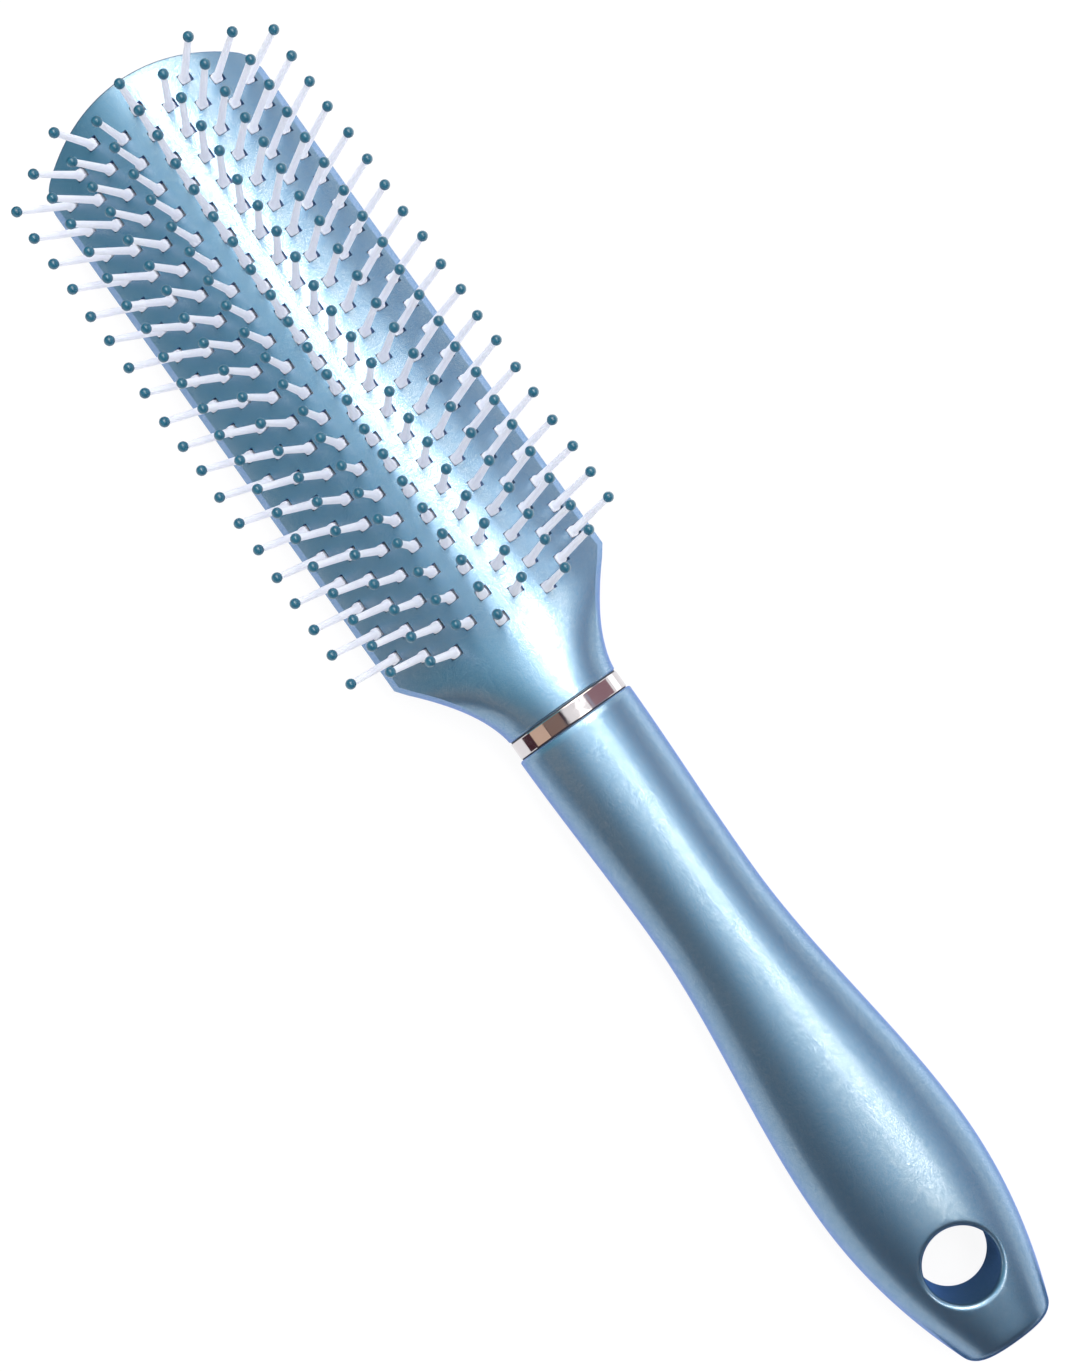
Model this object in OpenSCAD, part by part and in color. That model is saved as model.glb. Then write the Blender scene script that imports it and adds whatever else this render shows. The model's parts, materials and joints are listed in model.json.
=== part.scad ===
// Hair styling brush with a domed head, nine strips of ball-tipped pins,
// a flared neck, a plated ring and an oval handle with a hang hole.
// It lies on its back: X runs from the tip of the head to the end of the
// handle, Y runs across the head, and Z runs up through the pins.

/* [Head] */
// Length of the head from its tip to the shoulders
head_len = 101.6; // [80:0.2:130]
// Width of the head over its side walls
head_w = 40; // [36:1:48]
// Thickness of the head from the back to the top of the dome
head_t = 14; // [12.5:0.5:18]
// Radius of the domed face across the head
dome_r = 36; // [30:1:60]
// Radius of the rounded tip in plan
tip_r = 32; // [28:0.5:60]
// Radius of the corners between the tip and the sides, in plan
tip_corner_r = 5.5; // [5.2:0.1:7]
// Width of the band between the edge of the face and the side wall
band_w = 1; // [0.6:0.1:1.6]
// Drop of the band from the edge of the face to the side wall
band_drop = 1.8; // [1:0.1:2.2]
// Radius of the long edges at the back
back_edge_r = 3.5; // [2.5:0.25:3.75]
// Thickness of the wall behind the face
face_wall = 1.6; // [1.2:0.1:2]
// Thickness of the side walls
side_wall = 2.3; // [1.8:0.1:2.4]

/* [Back cover] */
// Thickness of the back cover
cover_t = 1.6; // [1.2:0.1:2.2]
// Distance from the side of the head to the cover
cover_margin = 4.4; // [4.2:0.1:5]
// Number of arched ribs on the cover
rib_count = 6; // [3:1:8]
// Thickness of each rib
rib_t = 1.4; // [1:0.1:2]
// Distance from the edge of the cover to the ends of a rib
rib_inset = 0.5; // [0.2:0.1:1]

/* [Pins] */
// Distance between two rows of a strip
row_pitch = 4.84; // [4.6:0.02:6]
// Distance from the tip of the head to the first row
first_row = 5.4; // [5:0.1:10]
// How far the last row can lie past the shoulders
row_overrun = 1; // [0:0.25:2]
// Distance from the side of the head to the outer strips
pin_margin = 2.93; // [2.8:0.05:4]
// Height of a pin above the face, with its ball tip
pin_h = 15; // [10:0.5:20]
// Diameter of a pin at its root
pin_root_d = 1.3; // [1.1:0.05:1.5]
// Diameter of a pin at its tip
pin_tip_d = 1; // [0.8:0.05:1.1]
// Diameter of a ball tip
ball_d = 1.7; // [1.4:0.05:2.2]
// How far a pin reaches past the centre of its ball tip
pin_socket = 0.3; // [0:0.05:0.4]
// Side of the square foot of a pin
foot_w = 1.6; // [1.55:0.05:1.85]
// Height of the foot above the face
foot_h = 0.3; // [0.1:0.05:0.6]
// Width of the rail that carries a strip's pins
rail_w = 2.8; // [2.2:0.1:3]
// Thickness of the rail
rail_t = 1.3; // [1:0.1:1.6]
// How far a rail runs on past its first and last foot
rail_end = 0.3; // [0.1:0.1:0.6]

/* [Neck and ring] */
// Length of the neck from the shoulders to the ring
neck_len = 17; // [12:0.5:26]
// Width of the ring
ring_w = 20; // [18:0.5:22]
// Thickness of the ring, front to back
ring_t = 15; // [13:0.5:16]
// Length of the ring along the brush
ring_len = 3.2; // [2:0.1:6]
// How far the handle stands out beyond the ring
ring_step = 0.4; // [0.1:0.1:0.8]
// Width of the tang
tang_w = 11; // [8:0.5:13]
// Thickness of the tang
tang_t = 7.5; // [5:0.5:9]
// Depth of the tang in the handle
tang_depth = 26; // [15:1:40]
// Edge radius of the tang
tang_r = 1.5; // [0.5:0.25:2]

/* [Handle] */
// Length of the handle
handle_len = 115.6; // [95:0.2:140]
// Width of the handle at its waist
waist_w = 19.4; // [16:0.2:22]
// Width of the handle at its belly
belly_w = 27.6; // [24:0.2:32]
// Width of the handle at its end
end_w = 14.8; // [10:0.2:20]
// Thickness of the handle at its waist
waist_t = 15; // [13:0.5:17]
// Thickness of the handle at its belly
belly_t = 16; // [15:0.5:20]
// Thickness of the handle at its end
end_t = 11.6; // [9:0.2:14]
// Distance from the ring to the waist
waist_at = 34; // [20:1:38]
// Distance from the ring to the belly
belly_at = 84; // [60:1:88]
// Rounding of the edge at the handle's end
end_r = 1.6; // [0.8:0.1:2.4]

/* [Hang hole] */
// Diameter of the hang hole
hole_d = 12; // [8:0.5:13]
// Distance from the handle's end to the centre of the hole
hole_from_end = 14.8; // [11:0.2:20]
// Rounding of the rim of the hole
hole_rim_r = 1; // [0.4:0.1:1.5]

/* [Fits] */
// Gap round the back cover
cover_gap = 0.15; // [0.1:0.05:0.3]
// Gap between a strip and the piece above or below it
strip_gap = 0.05; // [0.03:0.01:0.15]
// Gap beside a pin's foot along the brush
foot_gap = 0.1; // [0.05:0.05:0.2]
// Slot left open beside a pin's foot across the brush
foot_slot = 0.45; // [0.2:0.05:0.6]
// Gap round the tang
tang_gap = 0.15; // [0.1:0.05:0.3]
// Room between the ends of the rails and the neck
rail_room = 0.6; // [0.3:0.1:1]

/* [Hidden] */
STRIPS = ["a", "b", "c", "d", "e", "f", "g", "h", "i"];

// Colours
pearl_blue = "#7FB3CC";
nylon_white = "#E6E2F0";
ball_teal = "#1F7F92";
chrome = "#C9C6CE";

// Stations along the brush
total_len = head_len + neck_len + ring_len + handle_len;
head_x = -total_len / 2;
shoulder_x = head_x + head_len;
ring_x = shoulder_x + neck_len;
handle_x = ring_x + ring_len;
end_x = handle_x + handle_len;
hole_x = end_x - hole_from_end;

// Heights
axis_z = belly_t / 2;
dome_z = head_t - dome_r;
seat_z = cover_t;
eps = 0.01;

// Centres of the corners between the tip and the sides
corner_y = head_w / 2 - tip_corner_r;
corner_x = head_x + tip_r - sqrt(pow(tip_r - tip_corner_r, 2) - corner_y * corner_y);

// Cross-section of the head
edge_y = head_w / 2 - band_w;
cavity_r = dome_r - face_wall;
cavity_y = head_w / 2 - side_wall;
cover_y = head_w / 2 - cover_margin;

// Pin pattern
strip_count = len(STRIPS);
row_count = floor((head_len + row_overrun - first_row) / row_pitch) + 1;
strip_angle = asin((head_w / 2 - pin_margin) / dome_r) / ((strip_count - 1) / 2);
rail_top_r = sqrt(cavity_r * cavity_r - rail_w * rail_w / 4) - strip_gap;
rail_low_r = rail_top_r - rail_t;
ball_r = ball_d / 2;
ball_centre = pin_h - ball_r;

// Points round the sections of neck, ring and handle
arc_steps = 22;
side_steps = 4;
corner_steps = 6;
back_steps = 12;
oval_n = 2.35;
section_steps = 56;
neck_steps = 12;
rise_steps = 9;
belly_steps = 14;
fall_steps = 12;
round_steps = 4;
edge_chamfer = 0.3;
ring_groove = 0.4;
weld_in = 0.6;
weld_out = 0.05;

function smooth(u) = u * u * (3 - 2 * u);
function mix(a, b, u) = a * (1 - u) + b * u;
function sgn_pow(v, p) = (v < 0 ? -1 : 1) * pow(abs(v), p);

// Height of the dome at a distance y from the middle
function dome_at(y) = dome_z + sqrt(dome_r * dome_r - y * y);

// Point of an oval of half width w and half thickness t at angle a
function oval_point(w, t, a) = [
    w * sgn_pow(cos(a), 2 / oval_n),
    axis_z + t * sgn_pow(sin(a), 2 / oval_n)
];

// Oval section with evenly spaced angles
function oval(w, t) = [
    for (i = [0 : section_steps - 1]) oval_point(w, t, 360 * i / section_steps)
];

// Half width of the neck, u from 0 at the shoulders to 1 at the ring
neck_curve = 1.6;
function neck_w(u) = mix(ring_w / 2, head_w / 2, pow(1 - u, neck_curve));

// Angles on the oval that meet the edge of the face and the corner of the back
edge_angle = 22;
back_angle = -38;
flat_angle = -62;

// Right half of a neck section, from the top of the dome round to the back
function head_half(w) =
    let (e = w - band_w, zc = dome_at(e), zb = zc - band_drop, r = back_edge_r)
    concat(
        [for (i = [0 : arc_steps / 2]) let (y = e * i / (arc_steps / 2)) [y, dome_at(y)]],
        [for (i = [1 : side_steps / 2]) [mix(e, w, i / (side_steps / 2)), mix(zc, zb, i / (side_steps / 2))]],
        [for (i = [1 : side_steps / 2]) [w, mix(zb, r, i / (side_steps / 2))]],
        [for (i = [1 : corner_steps]) let (a = 90 * i / corner_steps) [w - r + r * cos(a), r - r * sin(a)]],
        [for (i = [1 : back_steps / 2]) [(w - r) * (1 - i / (back_steps / 2)), 0]]
    );

function oval_half(w, t) =
    concat(
        [for (i = [0 : arc_steps / 2]) oval_point(w, t, mix(90, edge_angle, i / (arc_steps / 2)))],
        [for (i = [1 : side_steps]) oval_point(w, t, mix(edge_angle, back_angle, i / side_steps))],
        [for (i = [1 : corner_steps]) oval_point(w, t, mix(back_angle, flat_angle, i / corner_steps))],
        [for (i = [1 : back_steps / 2]) oval_point(w, t, mix(flat_angle, -90, i / (back_steps / 2)))]
    );

// Whole section from its right half, which starts and ends on the middle line
function mirrored(half) = concat(
    half,
    [for (i = [len(half) - 2 : -1 : 1]) [-half[i][0], half[i][1]]]
);

function neck_section(u, inset) =
    let (w = neck_w(u), a = head_half(w), b = oval_half(w, ring_t / 2), t = smooth(u), k = 1 - inset / w)
    mirrored([for (i = [0 : len(a) - 1])
        let (p = mix(a[i], b[i], t)) [p[0] * k, axis_z + (p[1] - axis_z) * k]]);

// Solid through a list of [x, section] pairs
module loft(stations) {
    n = len(stations[0][1]);
    m = len(stations);
    points = [for (s = stations) for (p = s[1]) [s[0], p[0], p[1]]];
    sides = [for (j = [0 : m - 2]) for (i = [0 : n - 1])
        let (a = j * n + i, b = j * n + (i + 1) % n)
        each [[a, b, b + n], [a, b + n, a + n]]];
    caps = [[for (i = [n - 1 : -1 : 0]) i], [for (i = [0 : n - 1]) (m - 1) * n + i]];
    polyhedron(points = points, faces = concat(sides, caps));
}

// Half width and half thickness of the handle at a distance d from the ring
function handle_w(d) =
    d < waist_at ? mix(ring_w / 2 + ring_step, waist_w / 2, smooth(d / waist_at)) :
    d < belly_at ? mix(waist_w / 2, belly_w / 2, smooth((d - waist_at) / (belly_at - waist_at))) :
    mix(belly_w / 2, end_w / 2, pow((d - belly_at) / (handle_len - belly_at), 2));
function handle_t(d) =
    d < waist_at ? mix(ring_t / 2 + ring_step, waist_t / 2, smooth(d / waist_at)) :
    d < belly_at ? mix(waist_t / 2, belly_t / 2, smooth((d - waist_at) / (belly_at - waist_at))) :
    mix(belly_t / 2, end_t / 2, pow((d - belly_at) / (handle_len - belly_at), 2));

// Stations of the handle: chamfer at the ring, waist, belly, and rounded end
handle_marks = concat(
    [[0, edge_chamfer], [edge_chamfer, 0]],
    [for (i = [1 : rise_steps]) [waist_at * i / rise_steps, 0]],
    [for (i = [1 : belly_steps]) [mix(waist_at, belly_at, i / belly_steps), 0]],
    [for (i = [1 : fall_steps]) [mix(belly_at, handle_len - end_r, i / fall_steps), 0]],
    [for (i = [1 : round_steps]) let (a = 90 * i / round_steps)
        [handle_len - end_r + end_r * sin(a), end_r * (1 - cos(a))]]
);
handle_stations = [for (k = handle_marks)
    [handle_x + k[0], oval(handle_w(k[0]) - k[1], handle_t(k[0]) - k[1])]];

// Wedge from the centre of the tip's arc out through the centres of the corners
module tip_wedge() {
    reach = [2 * (corner_x - head_x - tip_r), 2 * corner_y];
    translate([head_x + tip_r, 0]) polygon([[0, 0], reach, [reach[0], -reach[1]]]);
}

// What is cut away outside the rounded corner at +Y
module corner_cut() {
    reach = 2 * tip_corner_r;
    out = [corner_x - head_x - tip_r, corner_y] * reach / (tip_r - tip_corner_r);
    translate([corner_x, corner_y, -1]) linear_extrude(height = head_t + 2) difference() {
        polygon([[0, 0], [0, reach], [out[0], reach], out]);
        circle(r = tip_corner_r, $fn = 64);
    }
}

// Plan of the head, grown or shrunk by d
module head_plan(d) {
    intersection() {
        translate([head_x + tip_r, 0]) circle(r = tip_r + d, $fn = 180);
        tip_wedge();
    }
    for (s = [-1, 1]) translate([corner_x, s * corner_y]) circle(r = tip_corner_r + d, $fn = 64);
    translate([corner_x, -head_w / 2 - d]) square([shoulder_x + d - corner_x, head_w + 2 * d]);
}

// Runs a Y-Z outline along X between two stations
module along_x(x0, x1) {
    translate([x0, 0, 0]) rotate([90, 0, 90]) linear_extrude(height = x1 - x0) children();
}

// Outline of the head across its width
module head_outline() {
    low_z = dome_at(edge_y);
    intersection() {
        translate([0, dome_z]) circle(r = dome_r, $fn = 240);
        polygon([
            [-head_w / 2, back_edge_r], [-head_w / 2 + back_edge_r, 0],
            [head_w / 2 - back_edge_r, 0], [head_w / 2, back_edge_r],
            [head_w / 2, low_z - band_drop], [edge_y, low_z],
            [edge_y, head_t + 1], [-edge_y, head_t + 1],
            [-edge_y, low_z], [-head_w / 2, low_z - band_drop]
        ]);
    }
    for (s = [-1, 1]) translate([s * (head_w / 2 - back_edge_r), back_edge_r])
        circle(r = back_edge_r, $fn = 64);
}

// Outside of the head: the outline across, the plan, and a rounded back edge at the tip
module head_body() {
    difference() {
        intersection() {
            along_x(head_x, shoulder_x) head_outline();
            union() {
                translate([head_x + tip_r, 0, 0]) rotate_extrude($fn = 180) {
                    square([tip_r - back_edge_r, head_t + 1]);
                    translate([0, back_edge_r]) square([tip_r, head_t + 1 - back_edge_r]);
                    intersection() {
                        translate([tip_r - back_edge_r, back_edge_r]) circle(r = back_edge_r, $fn = 64);
                        square([tip_r, head_t]);
                    }
                }
                translate([head_x + tip_r, -head_w, 0]) cube([head_len, 2 * head_w, head_t + 1]);
            }
        }
        for (s = [0, 1]) mirror([0, s, 0]) corner_cut();
    }
}

// Plan of the space inside the head, which follows the neck past the shoulders
module cavity_plan() {
    x1 = row_x(row_count - 1) + foot_w / 2 + rail_end + rail_room;
    marks = [for (i = [0 : side_steps]) mix(shoulder_x, max(x1, shoulder_x), i / side_steps)];
    half = [for (x = marks) [x, neck_w((x - shoulder_x) / neck_len) - side_wall]];
    head_plan(-side_wall);
    polygon(concat(
        [[shoulder_x - 2 * side_wall, cavity_y]], half,
        [for (i = [len(half) - 1 : -1 : 0]) [half[i][0], -half[i][1]]],
        [[shoulder_x - 2 * side_wall, -cavity_y]]
    ));
}

// Space inside the head, open at the back
module head_cavity() {
    intersection() {
        along_x(head_x, shoulder_x + neck_len) intersection() {
            translate([0, dome_z]) circle(r = cavity_r, $fn = 240);
            translate([-cavity_y, seat_z]) square([2 * cavity_y, head_t]);
        }
        translate([0, 0, -1]) linear_extrude(height = head_t + 2) cavity_plan();
    }
    translate([0, 0, -1]) linear_extrude(height = seat_z + 1 + eps) cover_plan(cover_gap);
}

// Plan of the back cover, grown by its gap
module cover_plan(gap) {
    intersection() {
        head_plan(-cover_margin + gap);
        translate([head_x, -cover_y - gap]) square([head_len, 2 * (cover_y + gap)]);
    }
}

// Rows of a strip: the outer strips and every second one are offset
function strip_rows(k) =
    abs(k) == (strip_count - 1) / 2 ? [for (r = [1 : row_count - 2]) r] :
    k % 2 == 0 ? [for (r = [0 : row_count - 1]) r] :
    [for (r = [0 : row_count - 2]) r + 0.5];
function row_x(r) = head_x + first_row + r * row_pitch;

// Places children at the foot of each pin of strip k, with Z along the pin
module at_pins(k) {
    for (r = strip_rows(k))
        translate([row_x(r), 0, dome_z]) rotate([-k * strip_angle, 0, 0])
            translate([0, 0, dome_r]) children();
}

module tang(gap, length) {
    translate([ring_x - eps, 0, axis_z]) rotate([90, 0, 90])
        linear_extrude(height = length) {
            square([tang_w + 2 * gap, tang_t + 2 * gap - 2 * tang_r], center = true);
            square([tang_w + 2 * gap - 2 * tang_r, tang_t + 2 * gap], center = true);
            for (y = [-1, 1], z = [-1, 1])
                translate([y * (tang_w / 2 + gap - tang_r), z * (tang_t / 2 + gap - tang_r)])
                    circle(r = tang_r, $fn = 32);
        }
}

// Neck from inside the head's end, out to the ring with a chamfered edge there
module neck() {
    marks = concat(
        [[-weld_in, weld_in], [0, -weld_out]],
        [for (i = [1 : neck_steps]) [(neck_len - edge_chamfer) * i / neck_steps, 0]],
        [[neck_len, edge_chamfer]]
    );
    loft([for (m = marks) [shoulder_x + m[0], neck_section(max(m[0], 0) / neck_len, m[1])]]);
}

module head_shell() {
    color(pearl_blue) {
        difference() {
            union() {
                head_body();
                neck();
                tang(0, ring_len + tang_depth);
            }
            head_cavity();
            for (k = [-(strip_count - 1) / 2 : (strip_count - 1) / 2]) at_pins(k)
                translate([-foot_w / 2 - foot_gap, -foot_w / 2 - foot_gap, -face_wall - 1])
                    cube([foot_w + 2 * foot_gap, foot_w + foot_gap + foot_slot, face_wall + 2]);
        }
    }
}

module back_cover() {
    rib_y = cover_y - rib_inset;
    color(pearl_blue) {
        linear_extrude(height = cover_t) cover_plan(0);
        for (i = [0 : rib_count - 1])
            translate([mix(head_x + tip_r / 2, shoulder_x - tip_r / 3, i / (rib_count - 1)), 0, 0])
                along_x(-rib_t / 2, rib_t / 2) intersection() {
                    translate([0, dome_z]) circle(r = rail_low_r - strip_gap, $fn = 240);
                    translate([-rib_y, cover_t / 2]) square([2 * rib_y, head_t]);
                }
    }
}

module pin_strip(k) {
    rows = strip_rows(k);
    x0 = row_x(rows[0]) - foot_w / 2 - rail_end;
    x1 = row_x(rows[len(rows) - 1]) + foot_w / 2 + rail_end;
    color(nylon_white) {
        translate([x0, 0, dome_z]) rotate([-k * strip_angle, 0, 0])
            translate([0, -rail_w / 2, rail_low_r]) cube([x1 - x0, rail_w, rail_t]);
        at_pins(k) {
            translate([-foot_w / 2, -foot_w / 2, -face_wall - rail_t / 2])
                cube([foot_w, foot_w, face_wall + rail_t / 2 + foot_h]);
            translate([0, 0, foot_h - eps])
                cylinder(h = ball_centre - foot_h + pin_socket, d1 = pin_root_d, d2 = pin_tip_d, $fn = 24);
        }
    }
}

module ball_tips(k) {
    color(ball_teal) at_pins(k) difference() {
        translate([0, 0, ball_centre]) sphere(d = ball_d, $fn = 24);
        translate([0, 0, foot_h - eps])
            cylinder(h = ball_centre - foot_h + pin_socket, d1 = pin_root_d, d2 = pin_tip_d, $fn = 24);
    }
}

module ring() {
    color(chrome) difference() {
        union() {
            along_x(ring_x, handle_x) polygon(oval((ring_w - ring_groove) / 2, (ring_t - ring_groove) / 2));
            along_x(ring_x + ring_groove / 2, handle_x - ring_groove / 2)
                polygon(oval(ring_w / 2, ring_t / 2));
        }
        translate([-1, 0, 0]) tang(tang_gap, ring_len + 2);
    }
}

module handle() {
    rim_z = handle_t(handle_len - hole_from_end);
    color(pearl_blue) difference() {
        loft(handle_stations);
        tang(tang_gap, ring_len + tang_depth + tang_gap);
        translate([hole_x, 0, axis_z]) {
            cylinder(h = belly_t + 2, d = hole_d, center = true, $fn = 96);
            for (s = [0, 1]) mirror([0, 0, s]) translate([0, 0, rim_z - hole_rim_r])
                rotate_extrude($fn = 96) difference() {
                    translate([hole_d / 2 - 1, 0]) square([hole_rim_r + 1, hole_rim_r + 2]);
                    translate([hole_d / 2 + hole_rim_r, 0]) circle(r = hole_rim_r, $fn = 48);
                }
        }
    }
}

head_shell();
back_cover();
ring();
handle();
pin_strip(-4);  // pin_strip_a
pin_strip(-3);  // pin_strip_b
pin_strip(-2);  // pin_strip_c
pin_strip(-1);  // pin_strip_d
pin_strip(0);  // pin_strip_e
pin_strip(1);  // pin_strip_f
pin_strip(2);  // pin_strip_g
pin_strip(3);  // pin_strip_h
pin_strip(4);  // pin_strip_i
ball_tips(-4);  // ball_tips_a
ball_tips(-3);  // ball_tips_b
ball_tips(-2);  // ball_tips_c
ball_tips(-1);  // ball_tips_d
ball_tips(0);  // ball_tips_e
ball_tips(1);  // ball_tips_f
ball_tips(2);  // ball_tips_g
ball_tips(3);  // ball_tips_h
ball_tips(4);  // ball_tips_i
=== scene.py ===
import json
import math
import random

import bmesh
import bpy
from mathutils import Euler, Matrix, Vector


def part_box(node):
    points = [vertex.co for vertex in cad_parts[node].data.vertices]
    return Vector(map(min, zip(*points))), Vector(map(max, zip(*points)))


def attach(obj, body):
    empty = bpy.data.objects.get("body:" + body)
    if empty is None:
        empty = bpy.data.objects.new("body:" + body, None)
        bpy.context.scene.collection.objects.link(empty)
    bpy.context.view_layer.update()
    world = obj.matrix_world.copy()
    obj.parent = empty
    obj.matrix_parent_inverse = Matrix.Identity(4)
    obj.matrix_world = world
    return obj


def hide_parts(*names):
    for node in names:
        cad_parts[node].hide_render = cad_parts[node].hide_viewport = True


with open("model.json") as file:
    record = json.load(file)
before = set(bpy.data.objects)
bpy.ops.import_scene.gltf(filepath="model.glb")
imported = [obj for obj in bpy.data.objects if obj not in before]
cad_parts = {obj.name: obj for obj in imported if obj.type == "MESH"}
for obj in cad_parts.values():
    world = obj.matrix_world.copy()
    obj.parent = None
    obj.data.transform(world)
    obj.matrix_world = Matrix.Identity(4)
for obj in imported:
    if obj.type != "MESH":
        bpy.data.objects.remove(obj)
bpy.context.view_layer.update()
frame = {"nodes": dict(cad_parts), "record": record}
MM = 0.001

# Distances within which points merge, or count as lying on a line
WELD = 1e-6
FINE_WELD = 1e-7
TINY = 1e-9

# Back cover and the opening that it closes
COVER_MARGIN = 4.4 * MM
COVER_GAP = 0.15 * MM
OPENING_INSET = COVER_MARGIN - COVER_GAP

# Places along the brush, read from the frame
TIP_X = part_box("head_shell")[0].x
RING_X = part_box("ring")[0].x
HANDLE_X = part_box("ring")[1].x
END_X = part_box("handle")[1].x
AXIS_Z = (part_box("handle")[0].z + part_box("handle")[1].z) / 2
HALF_HEAD = (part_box("back_cover")[1].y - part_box("back_cover")[0].y) / 2 + COVER_MARGIN
HOLE_X = frame["record"]["mounts"][0]["pos_m"][0]

# Head
DOME_TOP = 14 * MM
DOME_R = 36 * MM
TIP_R = 32 * MM
CORNER_R = 5.5 * MM
BAND_W = 1 * MM
BAND_DROP = 1.8 * MM
BACK_R = 3.5 * MM
WALL = 1.6 * MM
NECK_LEN = 17 * MM
NECK_CURVE = 1.6
SHOULDER_X = RING_X - NECK_LEN
DOME_Z = DOME_TOP - DOME_R
TIP_CENTRE = TIP_X + TIP_R
CORNER_Y = HALF_HEAD - CORNER_R
CORNER_X = TIP_CENTRE - math.sqrt((TIP_R - CORNER_R) ** 2 - CORNER_Y**2)
EDGE_ROUND = 0.4 * MM
MIN_STEP = 0.6 * MM

# Degrees of an oval section at which each part of the head's section ends up
OVAL_SPANS = {
    "dome": (90, 22),
    "band": (22, -8),
    "wall": (-8, -38),
    "corner": (-38, -62),
    "back": (-62, -90),
}

# Pins
ROW_PITCH = 4.84 * MM
FIRST_ROW = 5.4 * MM
LAST_ROW = 20
STRIPS = "abcdefghi"
PIN_MARGIN = 2.93 * MM
STRIP_ANGLE = math.asin((HALF_HEAD - PIN_MARGIN) / DOME_R) / 4
PIN_H = 15 * MM
PIN_ROOT_R = 0.65 * MM
PIN_TIP_R = 0.5 * MM
BALL_R = 0.85 * MM
FOOT_W = 1.6 * MM
FOOT_H = 0.3 * MM
FOOT_GAP = 0.1 * MM
FOOT_SLOT = 0.45 * MM
FOOT_ROUND = 0.22 * MM
RAIL_W = 2.8 * MM
RAIL_T = 1.3 * MM
RAIL_END = 0.3 * MM
RAIL_ROUND = 0.15 * MM
STRIP_GAP = 0.05 * MM
RAIL_TOP = math.sqrt((DOME_R - WALL) ** 2 - RAIL_W**2 / 4) - DOME_R - STRIP_GAP
PIN_LEAN = math.radians(0.9)

# Sides of an opening across its strip, the second with the slot
OPENING_SIDES = (-FOOT_W / 2 - FOOT_GAP, FOOT_W / 2 + FOOT_SLOT)

# The lines of the openings run straight this far past the shoulders, out to this share of the face
STRAIGHT_TO = 3 * MM
LINES_STRAIGHT = 0.62

# Flare of a pin where it leaves the foot: height and radius
PIN_FLARE = [
    (FOOT_H - 0.1 * MM, 0.92 * MM),
    (FOOT_H + 0.05 * MM, 0.82 * MM),
    (FOOT_H + 0.35 * MM, PIN_ROOT_R),
]

# Ring and handle
RING_HALF = (10 * MM, 7.5 * MM)
RING_GROOVE = 0.2 * MM
RING_BORE_HALF = (5.65 * MM, 3.9 * MM)
HANDLE_LEN = END_X - HANDLE_X
HANDLE_START = (10.4 * MM, 7.9 * MM)
WAIST_AT, WAIST = 34 * MM, (9.7 * MM, 7.5 * MM)
BELLY_AT, BELLY = 84 * MM, (13.8 * MM, 8 * MM)
HANDLE_END = (7.4 * MM, 5.8 * MM)
END_ROUND = 1.6 * MM
EDGE_CHAMFER = 0.3 * MM
HOLE_R = 6 * MM
HOLE_RIM = 1 * MM
OVAL_POWER = 2.35


def mix(a, b, u):
    return a * (1 - u) + b * u


def smooth(u):
    return u * u * (3 - 2 * u)


def steps(count):
    """Shares from just past 0 to 1."""
    return [i / count for i in range(1, count + 1)]


# Sections of the head, the neck and the handle


def oval_point(half, degrees):
    """Point of an oval section at an angle from +Y."""
    c, s = math.cos(math.radians(degrees)), math.sin(math.radians(degrees))
    y = half[0] * math.copysign(abs(c) ** (2 / OVAL_POWER), c)
    z = half[1] * math.copysign(abs(s) ** (2 / OVAL_POWER), s)
    return y, AXIS_Z + z


def dome_height(y):
    return DOME_Z + math.sqrt(DOME_R**2 - y**2)


def neck_half(u):
    return mix(RING_HALF[0], HALF_HEAD, (1 - u) ** NECK_CURVE)


def head_point(part, share, half):
    """Point of the head's right half: a share of the way along the dome, band, wall, corner or back."""
    edge = half - BAND_W
    edge_z = dome_height(edge)
    band_z = edge_z - BAND_DROP
    turn = share * math.pi / 2
    if part == "dome":
        return edge * share, dome_height(edge * share)
    if part == "band":
        return mix(edge, half, share), mix(edge_z, band_z, share)
    if part == "wall":
        return half, mix(band_z, BACK_R, share)
    if part == "corner":
        return half - BACK_R * (1 - math.cos(turn)), BACK_R * (1 - math.sin(turn))
    return (half - BACK_R) * (1 - share), 0


def section_point(part, share, u):
    """Point of the right half of a section, u from 0 at the shoulders to 1 at the ring."""
    half = neck_half(u)
    y, z = head_point(part, share, half)
    first, last = OVAL_SPANS[part]
    oval_y, oval_z = oval_point((half, RING_HALF[1]), mix(first, last, share))
    return mix(y, oval_y, smooth(u)), mix(z, oval_z, smooth(u))


def tip_edge(y):
    """Where the plan of the head starts at a distance y from the middle."""
    a = abs(y)
    if a * (TIP_R - CORNER_R) <= CORNER_Y * TIP_R:
        return TIP_CENTRE - math.sqrt(TIP_R**2 - a**2)
    return CORNER_X - math.sqrt(max(0, CORNER_R**2 - (a - CORNER_Y) ** 2))


def plan_normal(x, y):
    """Outward direction in plan at a point of the head's rim."""
    a = abs(y)
    if x > CORNER_X - TINY:
        away = Vector((0, 1, 0))
    elif a * (TIP_R - CORNER_R) <= CORNER_Y * TIP_R:
        away = Vector((x - TIP_CENTRE, a, 0)).normalized()
    else:
        away = Vector((x - CORNER_X, a - CORNER_Y, 0)).normalized()
    return Vector((away.x, math.copysign(away.y, y), 0))


# Mesh helpers


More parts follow.
